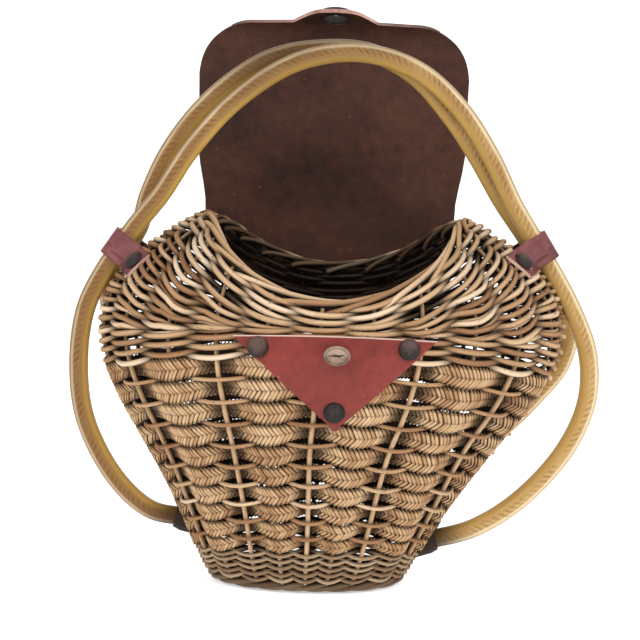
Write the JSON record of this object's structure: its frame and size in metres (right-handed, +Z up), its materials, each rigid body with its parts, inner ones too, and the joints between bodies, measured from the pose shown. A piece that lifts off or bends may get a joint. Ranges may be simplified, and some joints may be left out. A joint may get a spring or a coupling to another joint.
{
  "type": "wicker basket handbag",
  "caption": "Oval wicker basket handbag with plaited straw belly, leather lid standing open, tube handles and a turn button on a leather patch.",
  "frame": {"origin": "middle of the base's underside, where the basket stands", "axes": "+Z up, front with the turn button towards -Y, +X to the right as seen from the front"},
  "size_m": [0.3461, 0.1588, 0.3926],
  "materials": {
    "willow": "bare peeled willow, weathered",
    "plait": "dry plaited straw",
    "lid_leather": "dark brown, speckled and scuffed",
    "red_leather": "red-brown, worn",
    "dark_leather": "dark, creased",
    "stud_metal": "matte oxidised",
    "knob_metal": "weathered grey and tan",
    "eyelet_metal": "dull",
    "tube_vinyl": "amber tube over a twisted cord"
  },
  "bodies": {
    "bag": {"base_mat": "willow", "foot_band": "willow", "plaited_wall": "plait", "willow_wall": "willow", "rim_border": "willow", "front_patch": "red_leather", "patch_stud_left": "stud_metal", "patch_stud_right": "stud_metal", "patch_stud_tip": "stud_metal", "lock_plate": "knob_metal", "lid": "lid_leather", "slot_eyelet": "eyelet_metal", "lid_stud_left": "stud_metal", "lid_stud_middle": "stud_metal", "lid_stud_right": "stud_metal", "handle_front": "tube_vinyl", "handle_back": "tube_vinyl", "keeper_front_left": "dark_leather", "keeper_front_right": "dark_leather", "keeper_back_left": "dark_leather", "keeper_back_right": "dark_leather", "shoulder_tab_left": "red_leather", "shoulder_tab_right": "red_leather", "tab_stud_left_front": "stud_metal", "tab_stud_left_back": "stud_metal", "tab_stud_right_front": "stud_metal", "tab_stud_right_back": "stud_metal"},
    "knob": {"turn_knob": "knob_metal"}
  },
  "joints": [
    {"name": "knob_turn", "type": "hinge", "parent": "bag", "child": "knob", "pos_m": [0.0159, -0.0747, 0.1556], "axis": [0, -1, 0], "range_deg": [0, 90]}
  ]
}
